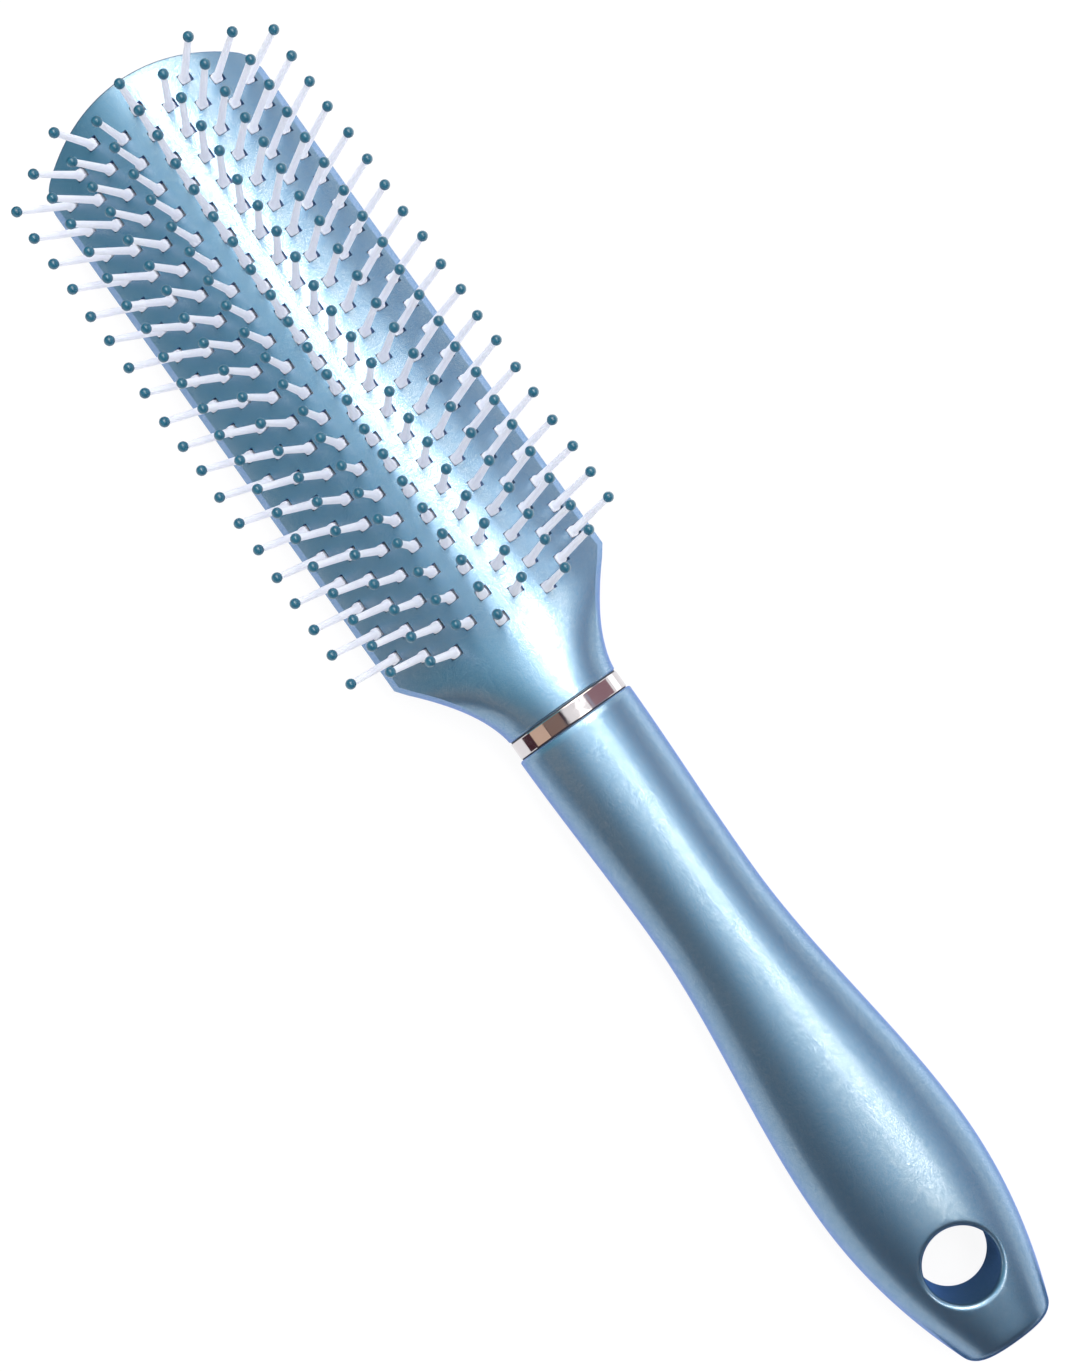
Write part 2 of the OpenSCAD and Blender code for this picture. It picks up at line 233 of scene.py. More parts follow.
def extend(bm, edges, place):
    """Extrudes edges once, puts each new vertex where place says, and returns the new edges."""
    made = bmesh.ops.extrude_edge_only(bm, edges=edges)["geom"]
    fresh = {v for v in made if isinstance(v, bmesh.types.BMVert)}
    for v in fresh:
        v.co = place(v)
    return [e for e in made if isinstance(e, bmesh.types.BMEdge) and all(v in fresh for v in e.verts)]


def piece(bm, name, material, nodes, sharp=35):
    """Turns a bmesh into a smooth-shaded piece that rides on the brush and stands for CAD nodes."""
    mesh = bpy.data.meshes.new(name)
    bm.to_mesh(mesh)
    bm.free()
    mesh.shade_smooth()
    mesh.set_sharp_from_angle(angle=math.radians(sharp))
    obj = bpy.data.objects.new(name, mesh)
    bpy.context.scene.collection.objects.link(obj)
    mesh.materials.append(material)
    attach(obj, "root")
    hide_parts(*nodes)
    return obj


def clean(bm, distance):
    """Merges doubles, drops loose bits and turns the faces outwards."""
    bmesh.ops.remove_doubles(bm, verts=bm.verts, dist=distance)
    bmesh.ops.dissolve_degenerate(bm, edges=bm.edges, dist=distance)
    bmesh.ops.recalc_face_normals(bm, faces=bm.faces)


# Materials


def linear(hex_colour):
    """Linear colour of an sRGB hex value."""
    parts = [int(hex_colour[i : i + 2], 16) / 255 for i in (1, 3, 5)]
    return tuple(c / 12.92 if c <= 0.04045 else ((c + 0.055) / 1.055) ** 2.4 for c in parts) + (1,)


def new_material(name, **values):
    """A material with a Principled BSDF, whose sockets take the given values."""
    material = bpy.data.materials.new(name)
    material.use_nodes = True
    shader = material.node_tree.nodes["Principled BSDF"]
    for socket, value in values.items():
        shader.inputs[socket.replace("_", " ")].default_value = value
    return material, material.node_tree, shader


def add(tree, kind, links=None, **settings):
    """Adds a node. Links maps input sockets to values or to output sockets."""
    node = tree.nodes.new(kind)
    for name, value in settings.items():
        setattr(node, name, value)
    for socket, value in (links or {}).items():
        if isinstance(value, bpy.types.NodeSocket):
            tree.links.new(value, node.inputs[socket])
        else:
            node.inputs[socket].default_value = value
    return node


def pearl_lacquer():
    """Pearl lacquer over moulded ABS: a satin metallic blue with silver mica flakes, whose
    shine is whiter than its ground, and which turns periwinkle at a low angle."""
    material, tree, shader = new_material(
        "pearl_lacquer",
        Metallic=0.95,
        Sheen_Weight=0.45,
        Sheen_Roughness=0.42,
        Sheen_Tint=linear("#5C98FA"),
        Specular_Tint=linear("#B4B8F4"),
        Coat_Weight=0.4,
        Coat_Roughness=0.32,
    )
    place = add(tree, "ShaderNodeTexCoord").outputs["Object"]
    # Soft-edged mica flakes of about 0.05 mm, which brighten about a fifth of the surface
    mica = add(tree, "ShaderNodeTexNoise", {"Vector": place, "Scale": 1 / (0.045 * MM), "Detail": 0.0})
    spread = {"Value": mica.outputs["Fac"], "From Min": 0.5, "From Max": 0.72}
    flake = add(tree, "ShaderNodeMapRange", spread)
    # Cloudiness of the sprayed coat, a few millimetres wide
    clouds = add(tree, "ShaderNodeTexNoise", {"Vector": place, "Scale": 1 / (6 * MM), "Detail": 6.0})
    ground = add(tree, "ShaderNodeMix", {"Factor": clouds.outputs["Fac"]}, data_type="RGBA")
    ground.inputs["A"].default_value = linear("#447EA4")
    ground.inputs["B"].default_value = linear("#5088AE")
    colour = add(tree, "ShaderNodeMix", {"Factor": flake.outputs["Result"]}, data_type="RGBA")
    tree.links.new(ground.outputs["Result"], colour.inputs["A"])
    colour.inputs["B"].default_value = linear("#E2ECF0")
    tree.links.new(colour.outputs["Result"], shader.inputs["Base Color"])
    shine = {"Value": flake.outputs["Result"], "To Min": 0.46, "To Max": 0.2}
    rough = add(tree, "ShaderNodeMapRange", shine)
    tree.links.new(rough.outputs["Result"], shader.inputs["Roughness"])
    return material


def polished_plating():
    """Nickel-chrome plating on ABS, polished: mirror bright, with a faint haze of fine wear."""
    material, tree, shader = new_material("polished_plating", Metallic=1.0, Base_Color=linear("#D9D4D6"))
    place = add(tree, "ShaderNodeTexCoord").outputs["Object"]
    haze = add(tree, "ShaderNodeTexNoise", {"Vector": place, "Scale": 1 / (1.5 * MM), "Detail": 4.0})
    rough = add(
        tree,
        "ShaderNodeMapRange",
        {"Value": haze.outputs["Fac"], "From Min": 0.35, "From Max": 0.75, "To Min": 0.06, "To Max": 0.13},
    )
    tree.links.new(rough.outputs["Result"], shader.inputs["Roughness"])
    return material


def seam_shade():
    """Painted shade in the grooves at both ends of the ring: a dull dark colour that stands in for the
    shadow in the seam.
    """
    material, tree, shader = new_material("seam_shade", Roughness=0.6)
    place = add(tree, "ShaderNodeTexCoord").outputs["Object"]
    # Random mottling within the painted shade
    shade_mottle = add(tree, "ShaderNodeTexNoise", {"Vector": place, "Scale": 1 / (0.7 * MM), "Detail": 2.0})
    colour = add(tree, "ShaderNodeMix", {"Factor": shade_mottle.outputs["Fac"]}, data_type="RGBA")
    colour.inputs["A"].default_value = linear("#1C2430")
    colour.inputs["B"].default_value = linear("#343C48")
    tree.links.new(colour.outputs["Result"], shader.inputs["Base Color"])
    return material


def moulded_nylon():
    """White nylon 6, injection moulded: slightly milky, with a soft gloss and a cool lilac cast."""
    material, tree, shader = new_material(
        "moulded_nylon",
        IOR=1.53,
        Subsurface_Weight=0.15,
        Subsurface_Scale=0.5 * MM,
        Subsurface_Radius=(1.0, 0.9, 1.0),
    )
    place = add(tree, "ShaderNodeTexCoord").outputs["Object"]
    flow = add(tree, "ShaderNodeTexNoise", {"Vector": place, "Scale": 1 / (0.8 * MM), "Detail": 3.0})
    colour = add(tree, "ShaderNodeMix", {"Factor": flow.outputs["Fac"]}, data_type="RGBA")
    colour.inputs["A"].default_value = linear("#EEF0FC")
    colour.inputs["B"].default_value = linear("#FAFBFF")
    tree.links.new(colour.outputs["Result"], shader.inputs["Base Color"])
    rough = add(tree, "ShaderNodeMapRange", {"Value": flow.outputs["Fac"], "To Min": 0.38, "To Max": 0.5})
    tree.links.new(rough.outputs["Result"], shader.inputs["Roughness"])
    relief = {"Height": flow.outputs["Fac"], "Strength": 0.1, "Distance": 0.02 * MM}
    bump = add(tree, "ShaderNodeBump", relief)
    tree.links.new(bump.outputs["Normal"], shader.inputs["Normal"])
    return material


def dipped_resin():
    """Teal epoxy that the tips were dipped in: a round glossy drop, a little uneven in colour."""
    material, tree, shader = new_material(
        "dipped_resin", IOR=1.5, Roughness=0.3, Coat_Weight=0.4, Coat_Roughness=0.1
    )
    place = add(tree, "ShaderNodeTexCoord").outputs["Object"]
    dip = add(tree, "ShaderNodeTexNoise", {"Vector": place, "Scale": 1 / (0.6 * MM), "Detail": 2.0})
    colour = add(tree, "ShaderNodeMix", {"Factor": dip.outputs["Fac"]}, data_type="RGBA")
    colour.inputs["A"].default_value = linear("#0C4660")
    colour.inputs["B"].default_value = linear("#266E86")
    tree.links.new(colour.outputs["Result"], shader.inputs["Base Color"])
    return material


# Pieces


def strip_rows(k):
    """Rows of a strip: the outer strips and every second one are offset."""
    if abs(k) == 4:
        return [r for r in range(1, LAST_ROW)]
    if k % 2 == 0:
        return [r for r in range(LAST_ROW + 1)]
    return [r + 0.5 for r in range(LAST_ROW)]


def row_x(row):
    return TIP_X + FIRST_ROW + row * ROW_PITCH


def on_face(k, row):
    """Frame of a pin's foot: its origin on the face, Z along the pin."""
    turn = Matrix.Rotation(-k * STRIP_ANGLE, 4, "X")
    return Matrix.Translation((row_x(row), 0, DOME_Z)) @ turn @ Matrix.Translation((0, 0, DOME_R))


def opening_y(k, side):
    """Distance from the middle at which a side of strip k's openings meets the face."""
    return DOME_R * math.sin(k * STRIP_ANGLE + math.asin(OPENING_SIDES[side] / DOME_R))


def face_lines():
    """Lines along the face as signed shares: up to 1 on the dome, from 1 to 2 on the band."""
    edge = HALF_HEAD - BAND_W
    marks = []
    for k in range(-4, 5):
        low, high = opening_y(k, 0), opening_y(k, 1)
        marks += [low, (low + high) / 2, high]
        if k < 4:
            marks.append((high + opening_y(k + 1, 0)) / 2)
    marks = [-edge, (marks[0] - edge) / 2] + marks + [(marks[-1] + edge) / 2, edge]
    band = [0.3, 0.55, 0.75, 0.9, 0.97, 1]
    return [-1 - b for b in reversed(band)] + [m / edge for m in marks] + [1 + b for b in band]


def face_point(line, x):
    """Point of the face, the band or the neck's top on one line at a place along the brush."""
    share = abs(line)
    u = max(0, (x - SHOULDER_X) / NECK_LEN)
    if share <= 1:
        # The lines of the openings stay straight past the shoulders, and then follow the neck
        spread = (HALF_HEAD - BAND_W) / (neck_half(u) - BAND_W) - 1
        far = min(1, max(0, (share - LINES_STRAIGHT) / (1 - LINES_STRAIGHT)))
        late = min(1, max(0, (x - SHOULDER_X - STRAIGHT_TO) / (2 * STRAIGHT_TO)))
        share *= 1 + spread * (1 - smooth(far)) * (1 - smooth(late))
        y, z = section_point("dome", min(1, share), u)
    else:
        y, z = section_point("band", share - 1, u)
    return Vector((x, math.copysign(y, line), z))


def head_stations():
    """Stations along the face: close together at the tip and the neck, and at each opening's sides."""
    half = FOOT_W / 2 + FOOT_GAP
    openings = [row_x(r / 2) + s * half for r in range(2 * LAST_ROW + 1) for s in (-1, 1)]
    tip = [TIP_X + d * MM for d in (0.9, 1.8, 2.7, 3.6)]
    rear = [SHOULDER_X - OPENING_INSET]
    neck_from = openings[-1]
    neck_to = RING_X - EDGE_CHAMFER
    neck = [mix(neck_from, neck_to, s) for s in steps(22)]
    return tip + sorted(openings + rear) + neck


def head_shell(material):
    """Moulded shell of head and neck, open at the back and pierced under each pin's foot."""
    bm = bmesh.new()
    line = bm.verts.layers.float.new("line")
    rim = bm.verts.layers.float_vector.new("rim")

    # Face and top of the neck, drawn along the brush from the tip
    shares = face_lines()
    first = [bm.verts.new((0, s, 0)) for s in shares]
    for v, s in zip(first, shares):
        v[line] = s
        v.co = face_point(s, TIP_X)
        v.co.x = tip_edge(v.co.y)
    edges = [bm.edges.new(pair) for pair in zip(first, first[1:])]

    def at_station(x):
        def place(v):
            p = face_point(v[line], x)
            edge = tip_edge(p.y) if x < CORNER_X + MIN_STEP else -1
            if x < edge + MIN_STEP:
                p.x = edge
            return p

        return place

    for x in head_stations():
        edges = extend(bm, edges, at_station(x))
    bmesh.ops.remove_doubles(bm, verts=bm.verts, dist=FINE_WELD)

    # Outer rim: the tip and both sides, without the end at the ring
    ring_end = RING_X - EDGE_CHAMFER - WELD
    for v in bm.verts:
        v[rim] = v.co
    outer = [e for e in bm.edges if e.is_boundary and not all(v.co.x > ring_end for v in e.verts)]

    def fillet_at(place):
        """Radius of the rounded top edge at the tip, which fades out round the corners."""
        fade = (HALF_HEAD - abs(place.y)) / CORNER_R
        return EDGE_ROUND * min(1, max(0, fade)) if place.x < CORNER_X else 0

    for v in {v for e in outer for v in e.verts}:
        p = v[rim].copy()
        v.co = p - plan_normal(p.x, p.y) * fillet_at(p)
        if p.x < CORNER_X and abs(v[line]) <= 1:
            v.co.z = dome_height(v.co.y)
        v[rim] = Vector((p.x, p.y, v.co.z))

    def round_edge(share):
        def place(v):
            p = v[rim]
            r = fillet_at(p)
            turn = share * math.pi / 2
            out = plan_normal(p.x, p.y) * r * (1 - math.sin(turn))
            return Vector((p.x - out.x, p.y - out.y, p.z - r * (1 - math.cos(turn))))

        return place

    def side(part, share):
        def place(v):
            p = v[rim]
            u = max(0, (p.x - SHOULDER_X) / NECK_LEN)
            y, z = section_point(part, share, u)
            if u > 0:
                return Vector((p.x, math.copysign(y, p.y), z))
            inset = plan_normal(p.x, p.y) * (HALF_HEAD - y)
            if part == "wall":
                z = mix(p.z - fillet_at(p), BACK_R, share)
            return Vector((p.x - inset.x, p.y - inset.y, z))

        return place

    edges = outer
    for share in steps(3):
        edges = extend(bm, edges, round_edge(share))
    opening_share = 1 - (HALF_HEAD - OPENING_INSET) / (HALF_HEAD - BACK_R)
    rows = [("wall", s) for s in steps(4)] + [("corner", s) for s in steps(7)] + [("back", opening_share)]
    for part, share in rows:
        edges = extend(bm, edges, side(part, share))

    # Back of the neck, behind the opening for the cover
    rear_x = SHOULDER_X - OPENING_INSET - WELD
    edges = [e for e in edges if all(v.co.x > rear_x for v in e.verts)]
    for share in steps(8):
        edges = extend(bm, edges, side("back", mix(opening_share, 1, share)))
    clean(bm, WELD)

    # Chamfer and end face at the ring
    end = [e for e in bm.edges if e.is_boundary and all(v.co.x > ring_end for v in e.verts)]

    def chamfer(v):
        k = 1 - EDGE_CHAMFER / RING_HALF[0]
        return Vector((RING_X, v.co.y * k, AXIS_Z + (v.co.z - AXIS_Z) * k))

    end = extend(bm, end, chamfer)
    bmesh.ops.contextual_create(bm, geom=end)
    bmesh.ops.recalc_face_normals(bm, faces=bm.faces)

    # Openings for the pins' feet
    holes = []
    for k in range(-4, 5):
        low, high = opening_y(k, 0), opening_y(k, 1)
        for r in strip_rows(k):
            x0 = row_x(r) - FOOT_W / 2 - FOOT_GAP
            x1 = row_x(r) + FOOT_W / 2 + FOOT_GAP
            holes.append((x0, x1, low, high))
    gone = []
    for f in bm.faces:
        c = f.calc_center_median()
        if c.z < BACK_R or f.normal.z < 0.5:
            continue
        if any(x0 < c.x < x1 and low < c.y < high for x0, x1, low, high in holes):
            gone.append(f)
    bmesh.ops.delete(bm, geom=gone, context="FACES")

    bmesh.ops.solidify(bm, geom=bm.faces[:], thickness=WALL)
    bmesh.ops.recalc_face_normals(bm, faces=bm.faces)
    return piece(bm, "lacquered_head", material, ["head_shell"], sharp=28)


def lacquered_cover(material):
    """Flush cover of the head's back, with its arched ribs inside, and softened edges."""
    bm = bmesh.new()
    bm.from_mesh(frame["nodes"]["back_cover"].data)
    bmesh.ops.remove_doubles(bm, verts=bm.verts, dist=WELD)
    bmesh.ops.dissolve_limit(bm, angle_limit=math.radians(0.5), verts=bm.verts, edges=bm.edges)
    sharp = [e for e in bm.edges if e.is_manifold and e.calc_face_angle(0) > math.radians(40)]
    bmesh.ops.bevel(
        bm,
        geom=sharp,
        offset=0.2 * MM,
        segments=2,
        profile=0.5,
        affect="EDGES",
        clamp_overlap=True,
        material=-1,
    )
    return piece(bm, "lacquered_cover", material, ["back_cover"])


def ring_of(bm, count):
    """A loop of vertices and edges, each vertex with its angle in the turn layer."""
    turn = bm.verts.layers.float.new("turn")
    bmesh.ops.create_circle(bm, cap_ends=False, segments=count, radius=1)
    for v in bm.verts:
        v[turn] = math.degrees(math.atan2(v.co.y, v.co.x))
    return turn, bm.edges[:]


def plated_ring(material, seam_shade_material):
    """Polished ring between neck and handle, with a fine groove at both ends and a bore for the tang."""
    bm = bmesh.new()
    turn, edges = ring_of(bm, 128)
    first = edges

    def oval_at(x, inset):
        half = (RING_HALF[0] - inset, RING_HALF[1] - inset)
        return lambda v: Vector((x, *oval_point(half, v[turn])))

    # An end of the ring from its face inwards: the groove, the rounded edge, and the start of the flat
    edge = [(0, RING_GROOVE), (RING_GROOVE, RING_GROOVE), (RING_GROOVE, 0.08 * MM)]
    edge += [(0.23 * MM, 0.025 * MM), (0.3 * MM, 0), (0.36 * MM, 0)]
    profile = [(RING_X + x, inset) for x, inset in edge]
    profile += [(HANDLE_X - x, inset) for x, inset in reversed(edge)]
    for v in bm.verts:
        v.co = oval_at(*profile[0])(v)
    for x, inset in profile[1:]:
        edges = extend(bm, edges, oval_at(x, inset))

    def bore_at(x):
        """Points of the bore, a rectangle with rounded corners."""

        def place(v):
            c, s = math.cos(math.radians(v[turn])), math.sin(math.radians(v[turn]))
            y = RING_BORE_HALF[0] * math.copysign(abs(c) ** 0.25, c)
            z = RING_BORE_HALF[1] * math.copysign(abs(s) ** 0.25, s)
            return Vector((x, y, AXIS_Z + z))

        return place

    edges = extend(bm, edges, bore_at(HANDLE_X))
    edges = extend(bm, edges, bore_at(RING_X))
    bmesh.ops.bridge_loops(bm, edges=edges + first)
    clean(bm, FINE_WELD)
    # Faces in the grooves at both ends take the second material, a painted shade that stands in for the
    # shadow in the seam
    for f in bm.faces:
        x = f.calc_center_median().x
        if x < RING_X + RING_GROOVE or x > HANDLE_X - RING_GROOVE:
            f.material_index = 1
    obj = piece(bm, "plated_ring", material, ["ring"], sharp=40)
    obj.data.materials.append(seam_shade_material)


def handle_half(d):
    """Half width and half thickness of the handle at a distance from the ring."""
    if d < WAIST_AT:
        u, a, b = smooth(d / WAIST_AT), HANDLE_START, WAIST
    elif d < BELLY_AT:
        u, a, b = smooth((d - WAIST_AT) / (BELLY_AT - WAIST_AT)), WAIST, BELLY
    else:
        u, a, b = ((d - BELLY_AT) / (HANDLE_LEN - BELLY_AT)) ** 2, BELLY, HANDLE_END
    return mix(a[0], b[0], u), mix(a[1], b[1], u)


def handle_body(material):
    """Lacquered handle with a waist, a belly, a flat rounded end and a hang hole with a rolled rim."""
    bm = bmesh.new()
    turn, edges = ring_of(bm, 96)
    # Distances from the ring with their insets: the softened start, the body and the rounded end
    marks = [(0, EDGE_CHAMFER), (EDGE_CHAMFER / 2, EDGE_CHAMFER / 4), (EDGE_CHAMFER, 0)]
    marks += [(mix(EDGE_CHAMFER, HANDLE_LEN - END_ROUND, s), 0) for s in steps(110)]
    for s in steps(7):
        a = s * math.pi / 2
        marks.append((HANDLE_LEN - END_ROUND * (1 - math.sin(a)), END_ROUND * (1 - math.cos(a))))

    def oval_at(d, inset):
        half = [h - inset for h in handle_half(d)]
        return lambda v: Vector((HANDLE_X + d, *oval_point(half, v[turn])))

    for v in bm.verts:
        v.co = oval_at(*marks[0])(v)
    bmesh.ops.contextual_create(bm, geom=edges)
    for d, inset in marks[1:]:
        edges = extend(bm, edges, oval_at(d, inset))
    bmesh.ops.contextual_create(bm, geom=edges)
    bmesh.ops.recalc_face_normals(bm, faces=bm.faces)

    bm = drilled(bm, HOLE_R + HOLE_RIM)
    axis = Vector((HOLE_X, 0, 0))

    def reach(v):
        return math.hypot(v.co.x - HOLE_X, v.co.y)

    # The drilled wall makes way for a rolled rim and a narrower wall
    near = 0.02 * MM
    wall = [f for f in bm.faces if all(abs(reach(v) - HOLE_R - HOLE_RIM) < near for v in f.verts)]
    bmesh.ops.delete(bm, geom=wall, context="FACES")
    loops = [e for e in bm.edges if e.is_boundary]

    def rim_at(share):
        """Rolls the rim from the handle's surface into the wall of the hole."""
        out = HOLE_R + HOLE_RIM * (1 - math.sin(share * math.pi / 2))
        drop = HOLE_RIM * (1 - math.cos(share * math.pi / 2))

        def place(v):
            flat = Vector((v.co.x, v.co.y, 0)) - axis
            p = axis + flat.normalized() * out
            half = handle_half(p.x - HANDLE_X)
            rise = half[1] * (1 - abs(p.y / half[0]) ** OVAL_POWER) ** (1 / OVAL_POWER) - drop
            return Vector((p.x, p.y, AXIS_Z + math.copysign(rise, v.co.z - AXIS_Z)))

        return place

    for share in steps(6):
        loops = extend(bm, loops, rim_at(share))
    bmesh.ops.bridge_loops(bm, edges=loops)
    clean(bm, WELD)
    return piece(bm, "lacquered_handle", material, ["handle"])


def drilled(bm, radius):
    """The bmesh with a round hole cut through at the hang hole's place."""
    cutter = bmesh.new()
    place = Matrix.Translation((HOLE_X, 0, AXIS_Z))
    bmesh.ops.create_cone(
        cutter, cap_ends=True, segments=128, radius1=radius, radius2=radius, depth=40 * MM, matrix=place
    )
    pair = []
    for name, source in (("blank", bm), ("drill", cutter)):
        mesh = bpy.data.meshes.new(name)
        source.to_mesh(mesh)
        source.free()
        pair.append(bpy.data.objects.new(name, mesh))
        bpy.context.scene.collection.objects.link(pair[-1])
    cut = pair[0].modifiers.new("drill", "BOOLEAN")
    cut.operation = "DIFFERENCE"
    cut.solver = "EXACT"
    cut.object = pair[1]
    result = bmesh.new()
    result.from_object(pair[0], bpy.context.evaluated_depsgraph_get())
    for obj in pair:
        bpy.data.objects.remove(obj)
    return result


def box_in(bm, low, high, bevel):
    """A box between two corners with softened edges."""
    size = [b - a for a, b in zip(low, high)]
    centre = [(a + b) / 2 for a, b in zip(low, high)]
    place = Matrix.Translation(centre) @ Matrix.Diagonal((*size, 1))
    made = bmesh.ops.create_cube(bm, size=1, matrix=place)["verts"]
    edges = list({e for v in made for e in v.link_edges})
    bmesh.ops.bevel(bm, geom=edges, offset=bevel, segments=1, profile=0.5, affect="EDGES", material=-1)


def pin_foot(bm):
    """Square foot of a pin, from the rail up through the face."""
    half = FOOT_W / 2
    box_in(bm, (-half, -half, RAIL_TOP - RAIL_T / 2), (half, half, FOOT_H), FOOT_ROUND)


def pin_rod(bm):
    """Tapered rod of a pin, which flares where it leaves the foot."""
    turn, edges = ring_of(bm, 10)
    middle = (PIN_H * 0.5, mix(PIN_ROOT_R, PIN_TIP_R, 0.5))
    profile = PIN_FLARE + [middle, (PIN_H - BALL_R, PIN_TIP_R)]

    def circle_at(z, r):
        def place(v):
            a = math.radians(v[turn])
            return Vector((r * math.cos(a), r * math.sin(a), z))

        return place

    for v in bm.verts:
        v.co = circle_at(*profile[0])(v)
    bmesh.ops.contextual_create(bm, geom=edges)
    for z, r in profile[1:]:
        edges = extend(bm, edges, circle_at(z, r))
    bmesh.ops.contextual_create(bm, geom=edges)
    bmesh.ops.recalc_face_normals(bm, faces=bm.faces)


def ball_tip(bm):
    """Drop of resin at the top of a pin."""
    place = Matrix.Translation((0, 0, PIN_H - BALL_R))
    bmesh.ops.create_uvsphere(bm, u_segments=14, v_segments=9, radius=BALL_R, matrix=place)


def part_mesh(build, *sizes):
    """A mesh made once, to be set in place as often as it is needed."""
    bm = bmesh.new()
    build(bm, *sizes)
    mesh = bpy.data.meshes.new(build.__name__)
    bm.to_mesh(mesh)
    bm.free()
    return mesh


def set_at(bm, mesh, place):
    """Adds a copy of a mesh at a place."""
    before = len(bm.verts)
    bm.from_mesh(mesh)
    bm.verts.ensure_lookup_table()
    bmesh.ops.transform(bm, matrix=place, verts=bm.verts[before:])


def pin_strips(nylon, resin):
    """Nine moulded strips: a rail behind the face, the pins through it, and their dipped tips."""
    foot, rod, ball = part_mesh(pin_foot), part_mesh(pin_rod), part_mesh(ball_tip)
    chance = random.Random(11)
    for name, k in zip(STRIPS, range(-4, 5)):
        strip, tips = bmesh.new(), bmesh.new()
        rows = strip_rows(k)
        past = FOOT_W / 2 + RAIL_END
        low = (-past, -RAIL_W / 2, RAIL_TOP - RAIL_T)
        high = (row_x(rows[-1]) - row_x(rows[0]) + past, RAIL_W / 2, RAIL_TOP)
        set_at(strip, part_mesh(box_in, low, high, RAIL_ROUND), on_face(k, rows[0]))
        for row in rows:
            place = on_face(k, row)
            angles = [chance.uniform(-PIN_LEAN, PIN_LEAN) for _ in range(2)]
            lean = Euler(angles + [0]).to_matrix().to_4x4()
            set_at(strip, foot, place)
            set_at(strip, rod, place @ lean)
            set_at(tips, ball, place @ lean)
        piece(strip, "nylon_strip_" + name, nylon, ["pin_strip_" + name])
        piece(tips, "dipped_tips_" + name, resin, ["ball_tips_" + name])


# Studio


def direct(tree):
    """Output that is 1 for what the camera sees directly, in a reflection or through something clear."""
    rays = add(tree, "ShaderNodeLightPath")
    seen = rays.outputs["Is Camera Ray"]
    for other in ("Is Glossy Ray", "Is Transmission Ray"):
        either = add(tree, "ShaderNodeMath", {0: seen, 1: rays.outputs[other]}, operation="MAXIMUM")
        seen = either.outputs[0]
    return seen


def floor_material(colour, strength, shown):
    """Pale floor that shows as plain white, with a faint shadow left in it."""
    material, tree, shader = new_material("pale_floor", Roughness=0.9, Base_Color=linear(colour))
    glow = add(tree, "ShaderNodeEmission", {"Strength": strength})
    seen = add(tree, "ShaderNodeMath", {0: direct(tree), 1: shown}, operation="MULTIPLY")
    both = add(tree, "ShaderNodeMixShader", {0: seen.outputs[0], 1: shader.outputs[0], 2: glow.outputs[0]})
    tree.links.new(both.outputs[0], tree.nodes["Material Output"].inputs["Surface"])
    return material


def flat_stage(name, width, length, matrix, material):
    """A flat rectangle that belongs to the studio."""
    bm = bmesh.new()
    scale = Matrix.Diagonal((width, length, 1, 1))
    bmesh.ops.create_grid(bm, x_segments=1, y_segments=1, size=0.5, matrix=matrix @ scale)
    mesh = bpy.data.meshes.new(name)
    bm.to_mesh(mesh)
    bm.free()
    mesh.materials.append(material)
    obj = bpy.data.objects.new(name, mesh)
    bpy.context.scene.collection.objects.link(obj)
    return obj


def facing(direction, distance):
    """Frame of something that looks at the origin from a direction, its Y axis along the brush."""
    z = direction.normalized()
    x = Vector((1, 0, 0)).cross(z).normalized()
    y = z.cross(x)
    turn = Matrix((x, y, z)).transposed().to_4x4()
    return Matrix.Translation(z * distance) @ turn


def across(degrees, along=0):
    """Direction above the brush, tilted towards +Y by some degrees, and along +X."""
    a, b = math.radians(degrees), math.radians(along)
    return Vector((math.sin(b), math.sin(a) * math.cos(b), math.cos(a) * math.cos(b)))


def card(name, matrix, width, length, colour, strength=1.0):
    """A card that only reflections see."""
    material = bpy.data.materials.new(name)
    material.use_nodes = True
    tree = material.node_tree
    tree.nodes.remove(tree.nodes["Principled BSDF"])
    glow = add(tree, "ShaderNodeEmission", {"Color": linear(colour), "Strength": strength})
    tree.links.new(glow.outputs[0], tree.nodes["Material Output"].inputs["Surface"])
    obj = flat_stage(name, width, length, matrix, material)
    obj.visible_camera = False
    obj.visible_diffuse = False
    obj.visible_shadow = False
    obj.visible_transmission = False


# Distances of the cards from the brush, and the colours that several of them share
STRIP_AT = 0.85
FRONT_AT = 0.87
CARD_AT = 0.9
DARK = "#40343E"
BLACK = "#201A20"
WHITE = "#FFFFFF"


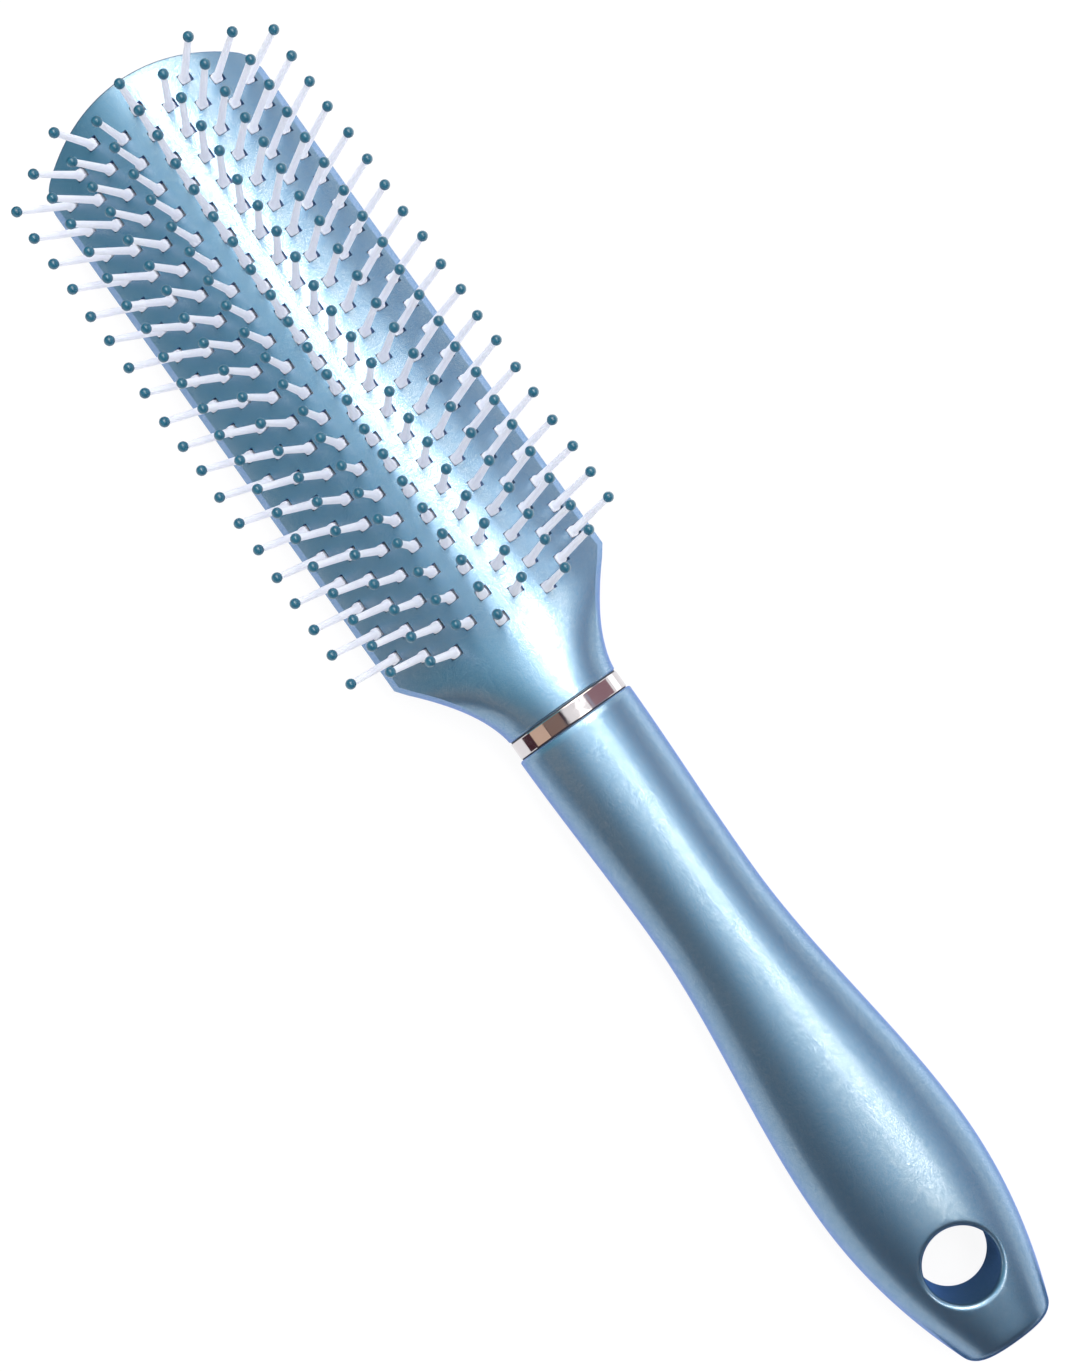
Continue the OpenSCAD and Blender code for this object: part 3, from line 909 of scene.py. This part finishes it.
def studio():
    floor = floor_material("#F6F4F8", 1.03, 0.88)
    flat_stage("floor", 6, 6, Matrix.Translation((0, 0, -0.2 * MM)), floor)

    # Left of the brush: dark beside the handle and teal beside the head
    card("left_card", facing(across(-32, 20), CARD_AT), 1.12, 0.77, DARK)
    card("left_teal", facing(across(-32, -26), CARD_AT), 1.12, 0.8, "#609AA4")

    # Narrow strips over the ring, which it mirrors from left to right
    card("left_maroon", facing(across(-72), STRIP_AT), 0.41, 0.14, "#4C3038")
    card("left_tan", facing(across(-43), STRIP_AT), 0.47, 0.14, "#DCBEA8")
    card("left_brown", facing(across(-15.5), STRIP_AT), 0.33, 0.14, "#8C756C")
    card("right_mauve", facing(across(52), CARD_AT), 1.02, 0.14, "#9C7C84")

    # Dark surroundings beyond the handle's end and the tip, and painted shade under the hang hole: a dark
    # sheet where the floor lies in shade
    card("end_card", facing(across(0, 58), CARD_AT), 1.62, 1.1, DARK)
    card("end_sheet", Matrix.Translation((0.52, 0, 0)), 0.8, 0.056, BLACK)
    card("tip_card", facing(across(0, -72), CARD_AT), 1.62, 0.6, BLACK)
    card("tip_sheet", Matrix.Translation((-0.55, 0, 0)), 0.862, 0.5, BLACK)
    card("hole_shade", Matrix.Translation((HOLE_X, 0, -0.1 * MM)), 16 * MM, 16 * MM, "#3A4A3E")

    # Fronts of the light: warm over the handle, dimmer over the ring, and wide over the head
    card("soft_front", facing(across(13.5, 15), FRONT_AT), 0.24, 0.28, "#FFF6EA", 5.1)
    card("ring_front", facing(across(13.5, -1), FRONT_AT), 0.24, 0.15, WHITE, 0.95)
    card("wide_front", facing(across(20.5, -30.5), FRONT_AT), 0.59, 0.68, "#FFF3E4", 3.35)

    # Right of the brush: grey above and a bright sheet beside it
    card("right_card", facing(across(43), 0.95), 0.66, 1.6, "#A09CAC")
    card("right_sheet", Matrix.Translation((-0.23, 0.2, 0)), 0.8, 0.34, WHITE, 1.7)

    lamp = bpy.data.lights.new("softbox", "AREA")
    lamp.shape = "RECTANGLE"
    lamp.size = 0.2
    lamp.size_y = 1.1
    lamp.energy = 5
    light = bpy.data.objects.new("softbox", lamp)
    light.matrix_world = facing(across(14, -14), 0.85)
    bpy.context.scene.collection.objects.link(light)

    world = bpy.data.worlds.new("studio")
    world.use_nodes = True
    bpy.context.scene.world = world
    tree = world.node_tree
    strength = add(tree, "ShaderNodeMapRange", {"Value": direct(tree), "To Min": 0.85, "To Max": 1.0})
    tree.links.new(strength.outputs["Result"], tree.nodes["Background"].inputs["Strength"])
    tree.nodes["Background"].inputs["Color"].default_value = (1, 1, 1, 1)


def camera():
    """Camera nearly straight above, turned so that the brush runs from upper left to lower right."""
    data = bpy.data.cameras.new("camera")
    data.lens = 60.76
    data.sensor_width = 36
    data.clip_start = 0.01
    obj = bpy.data.objects.new("camera", data)
    obj.location = (4.75 * MM, -3.75 * MM, 368.2 * MM)
    obj.rotation_euler = Euler([math.radians(a) for a in (1.493, 0.71, 54.493)])
    bpy.context.scene.collection.objects.link(obj)
    bpy.context.scene.camera = obj


pearl = pearl_lacquer()
head_shell(pearl)
lacquered_cover(pearl)
plated_ring(polished_plating(), seam_shade())
handle_body(pearl)
pin_strips(moulded_nylon(), dipped_resin())
studio()
camera()
bpy.context.scene.view_settings.view_transform = "Standard"
